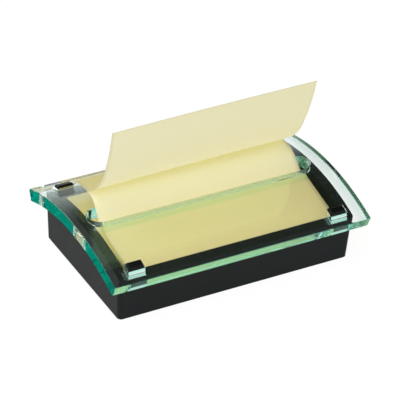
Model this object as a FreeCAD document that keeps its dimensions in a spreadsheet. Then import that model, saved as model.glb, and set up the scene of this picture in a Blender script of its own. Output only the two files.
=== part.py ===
"""Pop-up note holder: a black base with a drawer, a clear arched lid and a pad of fan-folded notes.

Frame: +X along the long side towards the drawer's end, -Y towards the user, +Z up.
The origin is on the desk, under the middle of the base. Lengths are in millimetres, angles in degrees.
"""
import FreeCAD
import Part
import Sketcher
import math
import os
import re

# Driving dimensions: name, value and what it measures.
SIZES = [
    ("note_length", 127.0, "one note, along the slot"),
    ("note_depth", 76.0, "one note, front to back"),
    ("paper", 0.25, "thickness of a loose note"),
    ("paper_gap", 0.3, "loose note to the paper under it"),
    ("pad_height", 9.0, "stack of notes left in the pad"),
    ("pad_clearance", 0.7, "pad to the upstand at each end"),
    ("pad_slide", 1.6, "pad to the front and back walls, when it lies midway"),
    ("pad_forward", 1.3, "how far the pad lies towards the user"),
    ("pad_headroom", 2.46, "top of the pad to the lid, half a note from the middle"),
    ("foot_drop", 0.5, "underside of the base above the desk"),
    ("foot_recess", 0.8, "depth of a foot's seat in the bottom plate"),
    ("foot_diameter", 9.0, "rubber foot"),
    ("foot_edge", 0.4, "rounding of a foot's lower rim"),
    ("foot_clearance", 0.1, "foot to the sides of its seat"),
    ("foot_from_end", 15.0, "foot's centre in from the end of the hollow"),
    ("foot_from_side", 10.0, "foot's centre in from the side of the hollow"),
    ("plate_thickness", 2.0, "bottom plate"),
    ("plate_clearance", 0.25, "bottom plate and shelf to the shell"),
    ("ballast_thickness", 1.8, "steel weight"),
    ("ballast_margin", 0.4, "weight to the rails and the stop beside it"),
    ("rail_lip_thickness", 1.2, "lip that the drawer slides on"),
    ("rail_lip_width", 2.9, "reach of the lip under the drawer"),
    ("rail_web", 1.3, "upright of a rail"),
    ("rail_end_gap", 0.5, "rail to the shell's end walls"),
    ("slide_clearance", 0.25, "drawer to the lips under it"),
    ("side_clearance", 0.4, "drawer to the rails beside it"),
    ("drawer_height", 7.2, "drawer tray and front"),
    ("drawer_headroom", 0.45, "drawer to the shelf above it"),
    ("drawer_travel", 90.0, "how far the drawer pulls out"),
    ("drawer_back_gap", 3.0, "back of the tray to the shell's end wall"),
    ("tray_wall", 1.6, "walls of the tray"),
    ("tray_floor", 1.2, "floor of the tray"),
    ("tray_corner", 2.0, "rounding of the tray's inner corners"),
    ("mouth_gap", 0.4, "drawer front to the edge of its mouth"),
    ("front_thickness", 2.6, "drawer front at its lower edge"),
    ("front_inset", 0.15, "drawer front behind the face of the shell"),
    ("pull_width", 22.0, "finger pull on the drawer front"),
    ("pull_reach", 3.4, "how far the pull stands out"),
    ("pull_thickness", 2.0, "pull, top to bottom"),
    ("pull_edge", 0.7, "rounding of the pull's outer edges"),
    ("hook_thickness", 2.0, "hook under the back of the tray, along the drawer"),
    ("hook_width", 20.0, "hook, across the drawer"),
    ("hook_clearance", 0.35, "hook above the steel weight"),
    ("stop_thickness", 2.4, "stop on the bottom plate, along the drawer"),
    ("stop_width", 28.0, "stop, across the drawer"),
    ("stop_gap", 0.3, "hook to the stop when the drawer is out"),
    ("shelf_thickness", 1.8, "shelf under the pad"),
    ("upstand_thickness", 1.6, "upstand at each end of the pad"),
    ("upstand_height", 6.0, "upstand above the shelf"),
    ("upstand_length", 50.0, "upstand, front to back"),
    ("end_space", 4.0, "end of the pad to the shell's end wall"),
    ("end_wall", 4.15, "shell's end wall at its foot"),
    ("side_wall", 4.1, "shell's front and back walls at their foot"),
    ("end_draft", 2.6, "lean of the end walls, outwards"),
    ("side_draft", 1.6, "lean of the front and back walls, outwards"),
    ("shell_corner", 2.6, "rounding of the shell's upright corners"),
    ("shell_edge", 0.5, "rounding of the shell's lower edge"),
    ("post_length", 9.5, "corner post, along the base"),
    ("post_depth", 7.2, "corner post, front to back"),
    ("post_gap", 0.3, "corner post to the rail beside it"),
    ("screw_shank", 2.2, "diameter of a screw's shank"),
    ("screw_head", 4.2, "diameter of a screw's head"),
    ("screw_head_height", 1.0, "height of a screw's head"),
    ("screw_length", 5.0, "screw below its head"),
    ("screw_clearance", 0.1, "screw to the sides of its hole"),
    ("screw_drive_width", 0.6, "arm of the cross in a screw's head"),
    ("screw_drive_span", 2.5, "length of the cross's arms"),
    ("screw_drive_depth", 0.5, "depth of the cross"),
    ("front_screw_length", 3.2, "drawer front's screw below its head"),
    ("front_screw_spacing", 36.0, "between the drawer front's two screws"),
    ("lid_overhang_end", 7.75, "lid past the foot of the shell's end walls"),
    ("lid_overhang_side", 8.3, "lid past the foot of the shell's front and back walls"),
    ("lid_thickness", 7.2, "clear plate"),
    ("lid_rise", 10.2, "crown of the lid above its front and back edges"),
    ("lid_corner", 0.8, "rounding of the lid's four corners"),
    ("lid_edge", 0.6, "polished rounding of the lid's edges"),
    ("lid_seat_gap", 0.25, "lid to the rim of the shell"),
    ("slot_width", 13.4, "slot across the crown"),
    ("slot_end_room", 5.5, "end of a note to the end of the slot"),
    ("peg_width", 9.2, "peg, along the lid"),
    ("peg_depth", 4.4, "peg, front to back"),
    ("peg_proud", 1.2, "peg above the lid"),
    ("peg_edge", 0.8, "rounding of a peg's top edges"),
    ("peg_inset", 4.85, "peg's middle in from the end of the hollow"),
    ("peg_margin", 0.15, "peg's outer face behind the shell's"),
    ("peg_hole_clearance", 0.35, "peg to the sides of its hole in the lid"),
    ("tongue_step", 0.8, "tongue of a peg behind the peg's inner face"),
    ("tongue_thickness", 2.4, "tongue of a peg in the shell's wall"),
    ("tongue_length", 8.0, "tongue below the rim"),
    ("socket_clearance", 0.1, "tongue to its socket"),
    ("lift_angle", 8.0, "slope of the rising note as it leaves the front of the pad"),
    ("rise_angle", 47.0, "slope of the rising note in the slot"),
    ("rise_radius", 24.3, "bend of the rising note off the pad"),
    ("rise_offset", 1.2, "rising note in front of the slot's middle"),
    ("roll_height", 5.7, "top of the rising note's roll above the lid"),
    ("roll_radius", 13.7, "roll of the rising note over the slot"),
    ("tail_radius", 52.0, "bend of the rising note's tail over the lid"),
    ("peel_angle", 9.9, "slope of the tail where the pulled note leaves it"),
    ("peel_radius", 32.5, "bend of the pulled note above its stuck strip"),
    ("stand_angle", 64.0, "slope of the pulled note above that bend"),
    ("stand_radius", 106.0, "bend of the pulled note's upper part"),
]

# Sizes and places that follow from the driving dimensions.
DERIVED = {
    "plate_top": "foot_drop + plate_thickness",
    "ballast_top": "plate_top + ballast_thickness",
    "lip_top": "ballast_top + rail_lip_thickness",
    "drawer_bottom": "lip_top + slide_clearance",
    "drawer_top": "drawer_bottom + drawer_height",
    "shelf_bottom": "drawer_top + drawer_headroom",
    "shelf_top": "shelf_bottom + shelf_thickness",
    "pad_top": "shelf_top + pad_height",
    "hollow_x": "note_length / 2 + end_space",
    "hollow_y": "note_depth / 2 + pad_slide",
    "pad_front": "-note_depth / 2 - pad_forward",
    "foot_x": "hollow_x - foot_from_end",
    "foot_y": "hollow_y - foot_from_side",
    "shell_x": "hollow_x + end_wall",
    "shell_y": "hollow_y + side_wall",
    "post_x": "hollow_x - post_length / 2",
    "post_y": "hollow_y - post_depth / 2",
    "lid_half_length": "shell_x + lid_overhang_end",
    "lid_half_depth": "shell_y + lid_overhang_side",
    "arch_radius": "(lid_half_depth ^ 2 + lid_rise ^ 2) / (2 * lid_rise)",
    "under_radius": "arch_radius - lid_thickness",
    "rim_radius": "under_radius - lid_seat_gap",
    "arch_centre": "pad_top + pad_headroom - sqrt(under_radius ^ 2 - (note_depth / 2) ^ 2)",
    "lid_crest": "arch_centre + arch_radius",
    "blank_height": "lid_crest - foot_drop",
    "rim_height": "arch_centre + sqrt(rim_radius ^ 2 - shell_y ^ 2)",
    "rail_inner": "hollow_y - post_depth - post_gap - rail_web",
    "drawer_y": "rail_inner - side_clearance",
    "tray_back": "drawer_back_gap - hollow_x",
    "front_face": "shell_x + (drawer_bottom - foot_drop) * tan(end_draft * 1 deg) - front_inset",
    "tray_front": "front_face - front_thickness",
    "hook_bottom": "ballast_top + hook_clearance",
    "stop_face": "tray_back + hook_thickness + drawer_travel + stop_gap",
    "peg_x": "hollow_x - peg_inset",
    "peg_outer": "shell_y + (rim_height - foot_drop) * tan(side_draft * 1 deg) - peg_margin",
    "peg_inner": "peg_outer - peg_depth",
    "tongue_inner": "peg_inner + tongue_step",
    "tongue_outer": "tongue_inner + tongue_thickness",
    "socket_floor": "rim_height - tongue_length",
    "counterbore": "screw_head_height + screw_clearance",
    "front_screw_z": "(drawer_bottom + tray_floor + drawer_top) / 2",
}

document = FreeCAD.newDocument("note_holder")
sheet = document.addObject("Spreadsheet::Sheet", "sizes")
for row, (alias, number, meaning) in enumerate(SIZES, 1):
    sheet.set(f"A{row}", meaning)
    sheet.set(f"B{row}", str(number))
    sheet.setAlias(f"B{row}", alias)
document.recompute()

ALIASES = {alias for alias, number, meaning in SIZES}


def expression(text):
    """Spell a size out in cells of the sheet."""
    def spell(match):
        word = match.group(0)
        if word in DERIVED:
            return "(" + expression(DERIVED[word]) + ")"
        return "sizes." + word if word in ALIASES else word
    return re.sub(r"[a-z][a-z_]*", spell, text)


def size(text):
    """Number that a size has now."""
    found = sheet.evalExpression(expression(text))
    return float(getattr(found, "Value", found))


def bind(thing, prop, text):
    """Tie a property to a size."""
    thing.setExpression(prop, expression(text))


# Features shared by the pieces.

def new_body(label):
    body = document.addObject("PartDesign::Body", label)
    body.Label = label
    return body


def new_sketch(body, name, role, lift="0"):
    """Sketch on one of the body's own planes, moved along its normal by lift."""
    sketch = body.newObject("Sketcher::SketchObject", f"{body.Label}_{name}")
    plane = next(feature for feature in body.Origin.OriginFeatures if feature.Role == role)
    sketch.AttachmentSupport = [(plane, "")]
    sketch.MapMode = "FlatFace"
    bind(sketch, "AttachmentOffset.Base.z", lift)
    return sketch


def constrain(sketch, kind, target, text):
    """Dimension of a sketch, tied to a size."""
    index = sketch.addConstraint(Sketcher.Constraint(kind, *target, size(text)))
    bind(sketch, f"Constraints[{index}]", text)


def pin(sketch, geometry, point, across, up):
    constrain(sketch, "DistanceX", (-1, 1, geometry, point), across)
    constrain(sketch, "DistanceY", (-1, 1, geometry, point), up)


def polygon(sketch, corners):
    """Closed outline through corners, each one two sizes from the sketch's origin."""
    points = [FreeCAD.Vector(size(across), size(up), 0) for across, up in corners]
    first = sketch.GeometryCount
    for start, end in zip(points, points[1:] + points[:1]):
        sketch.addGeometry(Part.LineSegment(start, end), False)
    for place, (across, up) in enumerate(corners):
        following = first + (place + 1) % len(corners)
        sketch.addConstraint(Sketcher.Constraint("Coincident", first + place, 2, following, 1))
        pin(sketch, first + place, 1, across, up)


def rectangle(sketch, left, right, low, high):
    polygon(sketch, [(left, low), (right, low), (right, high), (left, high)])


def circle(sketch, across, up, diameter):
    centre = FreeCAD.Vector(size(across), size(up), 0)
    round_edge = Part.Circle(centre, FreeCAD.Vector(0, 0, 1), size(diameter) / 2)
    index = sketch.addGeometry(round_edge, False)
    pin(sketch, index, 3, across, up)
    constrain(sketch, "Diameter", (index,), diameter)


def four_corners(x_size, y_size):
    """The same place in each corner of the base, as pairs of sizes."""
    signs = [(x_sign, y_sign) for x_sign in (-1, 1) for y_sign in (-1, 1)]
    return [(f"{x_sign} * ({x_size})", f"{y_sign} * ({y_size})") for x_sign, y_sign in signs]


def pad(body, name, sketch, length, symmetric=False):
    feature = body.newObject("PartDesign::Pad", f"{body.Label}_{name}")
    feature.Profile = sketch
    feature.SideType = "Symmetric" if symmetric else "One side"
    bind(feature, "Length", length)
    document.recompute()
    return feature


def pocket(body, name, sketch, length=None, both_ways=False, along_normal=False):
    """Cut through everything, or as deep as length says, and make sure that it cuts."""
    before = body.Shape.Volume
    feature = body.newObject("PartDesign::Pocket", f"{body.Label}_{name}")
    feature.Profile = sketch
    feature.SideType = "Symmetric" if both_ways else "One side"
    feature.Reversed = along_normal
    if length is None:
        feature.Type = "ThroughAll"
    else:
        bind(feature, "Length", length)
    document.recompute()
    if not body.Shape.Volume < before:
        raise RuntimeError(f"{body.Label}: {name} cuts nothing")
    return feature


def fillet(body, name, radius, chosen):
    """Round the edges of the body that chosen picks."""
    base = body.Tip
    names = [f"Edge{place}" for place, edge in enumerate(base.Shape.Edges, 1) if chosen(edge)]
    if not names:
        raise RuntimeError(f"{body.Label}: {name} finds no edge")
    feature = body.newObject("PartDesign::Fillet", f"{body.Label}_{name}")
    feature.Base = (base, names)
    bind(feature, "Radius", radius)
    document.recompute()
    return feature


TINY = 1e-4
EDGE_SAMPLES = 5


def at_height(text):
    """Test for edges that lie flat at a height."""
    height = size(text)
    return lambda edge: max(abs(edge.BoundBox.ZMin - height), abs(edge.BoundBox.ZMax - height)) < TINY


def arch_z(radius, y):
    """Height of the lid's arch, or a surface parallel to it, at a distance from its middle."""
    return f"(arch_centre + sqrt(({radius}) ^ 2 - ({y}) ^ 2))"


# Base.

def make_base_shell():
    body = new_body("base_shell")
    blank = body.newObject("PartDesign::AdditiveWedge", "base_shell_blank")
    plane = next(feature for feature in body.Origin.OriginFeatures if feature.Role == "XY_Plane")
    blank.AttachmentSupport = [(plane, "")]
    blank.MapMode = "FlatFace"
    upright = FreeCAD.Rotation(FreeCAD.Vector(1, 0, 0), 90)
    blank.AttachmentOffset = FreeCAD.Placement(FreeCAD.Vector(0, 0, 0), upright)
    top_x = "shell_x + blank_height * tan(end_draft * 1 deg)"
    top_y = "shell_y + blank_height * tan(side_draft * 1 deg)"
    spans = [("X", "shell_x"), ("X2", top_x), ("Z", "shell_y"), ("Z2", top_y)]
    for axis, half in spans:
        bind(blank, f"{axis}min", f"-({half})")
        bind(blank, f"{axis}max", half)
    bind(blank, "Ymin", "foot_drop")
    bind(blank, "Ymax", "lid_crest")
    document.recompute()
    fillet(body, "corners", "shell_corner", lambda edge: edge.BoundBox.ZLength > size("blank_height") / 2)
    fillet(body, "lower_edge", "shell_edge", at_height("foot_drop"))

    hollow = new_sketch(body, "hollow_outline", "XY_Plane")
    rectangle(hollow, "-hollow_x", "hollow_x", "-hollow_y", "hollow_y")
    pocket(body, "hollow", hollow, both_ways=True)

    posts = new_sketch(body, "post_outlines", "XY_Plane", "plate_top")
    for x_sign in (-1, 1):
        for y_sign in (-1, 1):
            rectangle(
                posts,
                f"{x_sign} * (hollow_x - post_length)", f"{x_sign} * (hollow_x + end_wall / 2)",
                f"{y_sign} * (hollow_y - post_depth)", f"{y_sign} * (hollow_y + side_wall / 2)",
            )
    pad(body, "posts", posts, "shelf_bottom - plate_top")

    rim = new_sketch(body, "rim_outline", "YZ_Plane")
    rim_cut(rim)
    pocket(body, "rim", rim, both_ways=True)

    mouth = new_sketch(body, "mouth_outline", "YZ_Plane")
    half_mouth = "(drawer_y + mouth_gap)"
    rectangle(mouth, f"-{half_mouth}", half_mouth, "drawer_bottom - mouth_gap", "drawer_top + mouth_gap")
    pocket(body, "mouth", mouth, along_normal=True)

    sockets = new_sketch(body, "socket_outlines", "XY_Plane", "socket_floor")
    peg_rectangles(sockets, "socket_clearance", "tongue_inner", "tongue_outer")
    pocket(body, "sockets", sockets, along_normal=True)

    pilots = new_sketch(body, "pilot_outlines", "XY_Plane", "plate_top")
    for x, y in four_corners("post_x", "post_y"):
        circle(pilots, x, y, "screw_shank + 2 * screw_clearance")
    pocket(body, "pilots", pilots, along_normal=True)
    return body


def peg_rectangles(sketch, clearance, inner, outer):
    """Outline round each peg, from its side at inner to its side at outer."""
    half_width = f"(peg_width / 2 + {clearance})"
    for x_sign in (-1, 1):
        for y_sign in (-1, 1):
            rectangle(
                sketch,
                f"{x_sign} * peg_x - {half_width}", f"{x_sign} * peg_x + {half_width}",
                f"{y_sign} * ({inner} - {clearance})", f"{y_sign} * ({outer} + {clearance})",
            )


def rim_cut(sketch):
    """All that lies above the arch that the lid rests on."""
    centre = FreeCAD.Vector(0, size("arch_centre"), 0)
    radius = size("rim_radius")
    half = size("lid_half_depth")
    lean = math.asin(half / radius)
    end_height = centre.y + radius * math.cos(lean)
    top = size("lid_crest + lid_rise")
    circle_edge = Part.Circle(centre, FreeCAD.Vector(0, 0, 1), radius)
    sketch.addGeometry(Part.ArcOfCircle(circle_edge, math.pi / 2 - lean, math.pi / 2 + lean), False)
    corners = [(-half, end_height), (-half, top), (half, top), (half, end_height)]
    points = [FreeCAD.Vector(across, up, 0) for across, up in corners]
    for start, end in zip(points, points[1:]):
        sketch.addGeometry(Part.LineSegment(start, end), False)
    joined = ((0, 2, 1, 1), (1, 2, 2, 1), (2, 2, 3, 1), (3, 2, 0, 1))
    for first, first_end, second, second_end in joined:
        sketch.addConstraint(Sketcher.Constraint("Coincident", first, first_end, second, second_end))
    sketch.addConstraint(Sketcher.Constraint("Vertical", 1))
    sketch.addConstraint(Sketcher.Constraint("Vertical", 3))
    sketch.addConstraint(Sketcher.Constraint("Symmetric", 0, 1, 0, 2, -2))
    pin(sketch, 0, 3, "0", "arch_centre")
    constrain(sketch, "Radius", (0,), "rim_radius")
    constrain(sketch, "DistanceX", (-1, 1, 0, 1), "lid_half_depth")
    constrain(sketch, "DistanceY", (-1, 1, 1, 2), "lid_crest + lid_rise")
    sketch.addConstraint(Sketcher.Constraint("Horizontal", 2))


def make_bottom_plate():
    body = new_body("bottom_plate")
    outline = new_sketch(body, "outline", "XY_Plane", "foot_drop")
    half_x = "(hollow_x - plate_clearance)"
    half_y = "(hollow_y - plate_clearance)"
    rectangle(outline, f"-{half_x}", half_x, f"-{half_y}", half_y)
    pad(body, "plate", outline, "plate_thickness")

    stop = new_sketch(body, "stop_outline", "XY_Plane", "foot_drop")
    rectangle(stop, "stop_face", "stop_face + stop_thickness", "-stop_width / 2", "stop_width / 2")
    pad(body, "stop", stop, "lip_top - foot_drop")

    holes = new_sketch(body, "hole_outlines", "XY_Plane")
    for x, y in four_corners("post_x", "post_y"):
        circle(holes, x, y, "screw_shank + 2 * screw_clearance")
    pocket(body, "holes", holes, both_ways=True)

    head_seats = new_sketch(body, "head_seat_outlines", "XY_Plane", "foot_drop")
    for x, y in four_corners("post_x", "post_y"):
        circle(head_seats, x, y, "screw_head + 2 * screw_clearance")
    pocket(body, "head_seats", head_seats, "counterbore", along_normal=True)

    foot_seats = new_sketch(body, "foot_seat_outlines", "XY_Plane", "foot_drop")
    for x, y in four_corners("foot_x", "foot_y"):
        circle(foot_seats, x, y, "foot_diameter + 2 * foot_clearance")
    pocket(body, "foot_seats", foot_seats, "foot_recess", along_normal=True)
    return body


def make_ballast_plate():
    box = document.addObject("Part::Box", "ballast_plate")
    half_y = "(rail_inner - ballast_margin)"
    bind(box, "Length", "stop_face - ballast_margin - tray_back")
    bind(box, "Width", f"2 * {half_y}")
    bind(box, "Height", "ballast_thickness")
    bind(box, "Placement.Base.x", "tray_back")
    bind(box, "Placement.Base.y", f"-{half_y}")
    bind(box, "Placement.Base.z", "plate_top")
    return box


def make_foot(label, x_sign, y_sign):
    body = new_body(label)
    outline = new_sketch(body, "outline", "XY_Plane")
    circle(outline, "0", "0", "foot_diameter")
    pad(body, "disc", outline, "foot_drop + foot_recess")
    fillet(body, "rim", "foot_edge", at_height("0"))
    bind(body, "Placement.Base.x", f"{x_sign} * foot_x")
    bind(body, "Placement.Base.y", f"{y_sign} * foot_y")
    return body


def make_pad_shelf():
    body = new_body("pad_shelf")
    outline = new_sketch(body, "outline", "XY_Plane", "shelf_bottom")
    half_x = "(hollow_x - plate_clearance)"
    half_y = "(hollow_y - plate_clearance)"
    rectangle(outline, f"-{half_x}", half_x, f"-{half_y}", half_y)
    pad(body, "plate", outline, "shelf_thickness")

    upstands = new_sketch(body, "upstand_outlines", "XY_Plane", "shelf_bottom")
    inner = "(note_length / 2 + pad_clearance)"
    for sign in (-1, 1):
        rectangle(
            upstands,
            f"{sign} * {inner}", f"{sign} * ({inner} + upstand_thickness)",
            "-upstand_length / 2", "upstand_length / 2",
        )
    pad(body, "upstands", upstands, "shelf_thickness + upstand_height")

    holes = new_sketch(body, "hole_outlines", "XY_Plane")
    for x, y in four_corners("post_x", "post_y"):
        circle(holes, x, y, "screw_shank + 2 * screw_clearance")
    pocket(body, "holes", holes, along_normal=True)

    head_seats = new_sketch(body, "head_seat_outlines", "XY_Plane", "shelf_top")
    for x, y in four_corners("post_x", "post_y"):
        circle(head_seats, x, y, "screw_head + 2 * screw_clearance")
    pocket(body, "head_seats", head_seats, "counterbore")
    return body


# Screws: a flat head with a cross, and a plain shank for the thread.

def make_screw(name, length, place, turn):
    """One screw, head up, with the underside of its head at place, turned as its hole runs."""
    head = document.addObject("Part::Cylinder", f"{name}_head")
    bind(head, "Radius", "screw_head / 2")
    bind(head, "Height", "screw_head_height")
    shank = document.addObject("Part::Cylinder", f"{name}_shank")
    bind(shank, "Radius", "screw_shank / 2")
    bind(shank, "Height", length)
    bind(shank, "Placement.Base.z", f"-({length})")
    blank = document.addObject("Part::Fuse", f"{name}_blank")
    blank.Base = head
    blank.Tool = shank
    solid = blank
    arms = [("screw_drive_span", "screw_drive_width"), ("screw_drive_width", "screw_drive_span")]
    for arm, spans in enumerate(arms):
        groove = document.addObject("Part::Box", f"{name}_groove_{arm}")
        for prop, axis, span in zip(("Length", "Width"), ("x", "y"), spans):
            bind(groove, prop, span)
            bind(groove, f"Placement.Base.{axis}", f"-({span}) / 2")
        bind(groove, "Height", "screw_head_height")
        bind(groove, "Placement.Base.z", "screw_head_height - screw_drive_depth")
        cut = document.addObject("Part::Cut", f"{name}_cut_{arm}")
        cut.Base = solid
        cut.Tool = groove
        solid = cut
    solid.Placement = FreeCAD.Placement(FreeCAD.Vector(0, 0, 0), turn)
    for axis, text in zip("xyz", place):
        bind(solid, f"Placement.Base.{axis}", text)
    return solid


def make_screw_group(label, length, places, turn):
    group = document.addObject("Part::Compound", label)
    screws = [make_screw(f"{label}_{count}", length, place, turn) for count, place in enumerate(places, 1)]
    group.Links = screws
    return group


UPRIGHT = FreeCAD.Rotation()
HEAD_DOWN = FreeCAD.Rotation(FreeCAD.Vector(1, 0, 0), 180)
HEAD_INWARDS = FreeCAD.Rotation(FreeCAD.Vector(0, 1, 0), -90)


# Drawer.

def make_drawer_rail(label, y_sign):
    body = new_body(label)
    section = new_sketch(body, "section", "YZ_Plane", "rail_end_gap - hollow_x")
    outer = "(rail_inner + rail_web)"
    lip = "(rail_inner - rail_lip_width)"
    corners = [
        (outer, "plate_top"), (outer, "shelf_bottom - slide_clearance"),
        ("rail_inner", "shelf_bottom - slide_clearance"), ("rail_inner", "lip_top"),
        (lip, "lip_top"), (lip, "ballast_top"), ("rail_inner", "ballast_top"), ("rail_inner", "plate_top"),
    ]
    polygon(section, [(f"{y_sign} * {across}", up) for across, up in corners])
    pad(body, "rail", section, "2 * (hollow_x - rail_end_gap)")
    return body


def make_drawer_tray():
    body = new_body("drawer_tray")
    outline = new_sketch(body, "outline", "XY_Plane", "drawer_bottom")
    rectangle(outline, "tray_back", "tray_front", "-drawer_y", "drawer_y")
    pad(body, "block", outline, "drawer_height")

    inside = new_sketch(body, "inside_outline", "XY_Plane", "drawer_bottom + tray_floor")
    half = "(drawer_y - tray_wall)"
    rectangle(inside, "tray_back + tray_wall", "tray_front - tray_wall", f"-{half}", half)
    pocket(body, "inside", inside, along_normal=True)
    inner_depth = size("drawer_height - tray_floor")
    inner_half = size("drawer_y - tray_wall")

    def inner_corner(edge):
        box = edge.BoundBox
        return abs(box.ZLength - inner_depth) < TINY and abs(abs(box.Center.y) - inner_half) < TINY

    fillet(body, "inner_corners", "tray_corner", inner_corner)

    hook = new_sketch(body, "hook_outline", "XY_Plane", "hook_bottom")
    rectangle(hook, "tray_back", "tray_back + hook_thickness", "-hook_width / 2", "hook_width / 2")
    pad(body, "hook", hook, "drawer_bottom + tray_floor - hook_bottom")

    holes = new_sketch(body, "hole_outlines", "YZ_Plane")
    front_screw_holes(holes)
    pocket(body, "holes", holes, along_normal=True)
    return body


def front_screw_holes(sketch):
    hole = "screw_shank + 2 * screw_clearance"
    for sign in (-1, 1):
        circle(sketch, f"{sign} * front_screw_spacing / 2", "front_screw_z", hole)


def make_drawer_front():
    body = new_body("drawer_front")
    section = new_sketch(body, "section", "XZ_Plane")
    lean = "drawer_height * tan(end_draft * 1 deg)"
    corners = [
        ("tray_front", "drawer_bottom"), ("front_face", "drawer_bottom"),
        (f"front_face + {lean}", "drawer_top"), ("tray_front", "drawer_top"),
    ]
    polygon(section, corners)
    pad(body, "panel", section, "2 * drawer_y", symmetric=True)

    pull = new_sketch(body, "pull_section", "XZ_Plane")
    middle = "(drawer_bottom + drawer_height / 2)"
    tip = "front_face + pull_reach"
    rectangle(pull, "tray_front", tip, middle, f"{middle} + pull_thickness")
    pad(body, "pull", pull, "pull_width", symmetric=True)
    reach = size(tip)
    fillet(body, "pull_edges", "pull_edge", lambda edge: abs(edge.BoundBox.XMin - reach) < TINY)

    holes = new_sketch(body, "hole_outlines", "YZ_Plane")
    front_screw_holes(holes)
    depth = "tray_front - tray_wall + front_screw_length + screw_clearance"
    pocket(body, "holes", holes, depth, along_normal=True)
    return body


# Lid and the pegs that hold it.

def make_lid():
    body = new_body("lid")
    section = new_sketch(body, "section", "YZ_Plane")
    lid_section(section)
    pad(body, "plate", section, "2 * lid_half_length", symmetric=True)
    lid_end = size("lid_half_length")
    lid_front = size("lid_half_depth")

    def is_corner(edge):
        middle = edge.BoundBox.Center
        at_an_end = edge.BoundBox.XLength < TINY and abs(abs(middle.x) - lid_end) < TINY
        return at_an_end and abs(middle.y) > lid_front / 2

    fillet(body, "corners", "lid_corner", is_corner)

    slot = new_sketch(body, "slot_outline", "XY_Plane")
    slot_outline(slot)
    pocket(body, "slot", slot, both_ways=True)

    holes = new_sketch(body, "peg_hole_outlines", "XY_Plane")
    peg_rectangles(holes, "peg_hole_clearance", "peg_inner", "peg_outer")
    pocket(body, "peg_holes", holes, both_ways=True)
    centre = size("arch_centre")
    faces = (size("arch_radius"), size("under_radius"))

    def on_a_face(edge):
        """Edges of the outline, the slot and the holes, where they meet the top or the underside."""
        radii = [math.hypot(point.y, point.z - centre) for point in edge.discretize(EDGE_SAMPLES)]
        return any(max(abs(found - radius) for found in radii) < TINY for radius in faces)

    fillet(body, "polished_edges", "lid_edge", on_a_face)
    return body


def lid_section(sketch):
    """Arched plate of even thickness whose front and back edges are square to its faces."""
    centre = FreeCAD.Vector(0, size("arch_centre"), 0)
    outer = size("arch_radius")
    inner = size("under_radius")
    lean = math.asin(size("lid_half_depth") / outer)
    span = (math.pi / 2 - lean, math.pi / 2 + lean)
    normal = FreeCAD.Vector(0, 0, 1)

    def at(radius, angle):
        return FreeCAD.Vector(radius * math.cos(angle), centre.y + radius * math.sin(angle), 0)

    sketch.addGeometry(Part.ArcOfCircle(Part.Circle(centre, normal, outer), *span), False)
    sketch.addGeometry(Part.LineSegment(at(outer, span[1]), at(inner, span[1])), False)
    sketch.addGeometry(Part.ArcOfCircle(Part.Circle(centre, normal, inner), *span), False)
    sketch.addGeometry(Part.LineSegment(at(inner, span[0]), at(outer, span[0])), False)
    joined = ((0, 2, 1, 1), (1, 2, 2, 2), (2, 1, 3, 1), (3, 2, 0, 1), (0, 3, 2, 3))
    for first, first_end, second, second_end in joined:
        sketch.addConstraint(Sketcher.Constraint("Coincident", first, first_end, second, second_end))
    for side in (1, 3):
        sketch.addConstraint(Sketcher.Constraint("PointOnObject", 0, 3, side))
    sketch.addConstraint(Sketcher.Constraint("Symmetric", 0, 1, 0, 2, -2))
    pin(sketch, 0, 3, "0", "arch_centre")
    constrain(sketch, "Radius", (0,), "arch_radius")
    constrain(sketch, "Radius", (2,), "under_radius")
    constrain(sketch, "DistanceX", (-1, 1, 0, 1), "lid_half_depth")


def slot_outline(sketch):
    """Long slot with round ends."""
    radius = size("slot_width / 2")
    middle = size("note_length / 2 + slot_end_room - slot_width / 2")
    normal = FreeCAD.Vector(0, 0, 1)
    right = Part.Circle(FreeCAD.Vector(middle, 0, 0), normal, radius)
    left = Part.Circle(FreeCAD.Vector(-middle, 0, 0), normal, radius)
    corners = [(middle, radius), (-middle, radius), (-middle, -radius), (middle, -radius)]
    points = [FreeCAD.Vector(across, up, 0) for across, up in corners]
    sketch.addGeometry(Part.ArcOfCircle(right, -math.pi / 2, math.pi / 2), False)
    sketch.addGeometry(Part.LineSegment(points[0], points[1]), False)
    sketch.addGeometry(Part.ArcOfCircle(left, math.pi / 2, 3 * math.pi / 2), False)
    sketch.addGeometry(Part.LineSegment(points[2], points[3]), False)
    for first, second in ((0, 1), (1, 2), (2, 3), (3, 0)):
        sketch.addConstraint(Sketcher.Constraint("Tangent", first, 2, second, 1))
    pin(sketch, 0, 3, "note_length / 2 + slot_end_room - slot_width / 2", "0")
    pin(sketch, 2, 3, "slot_width / 2 - note_length / 2 - slot_end_room", "0")
    constrain(sketch, "Radius", (0,), "slot_width / 2")


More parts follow.
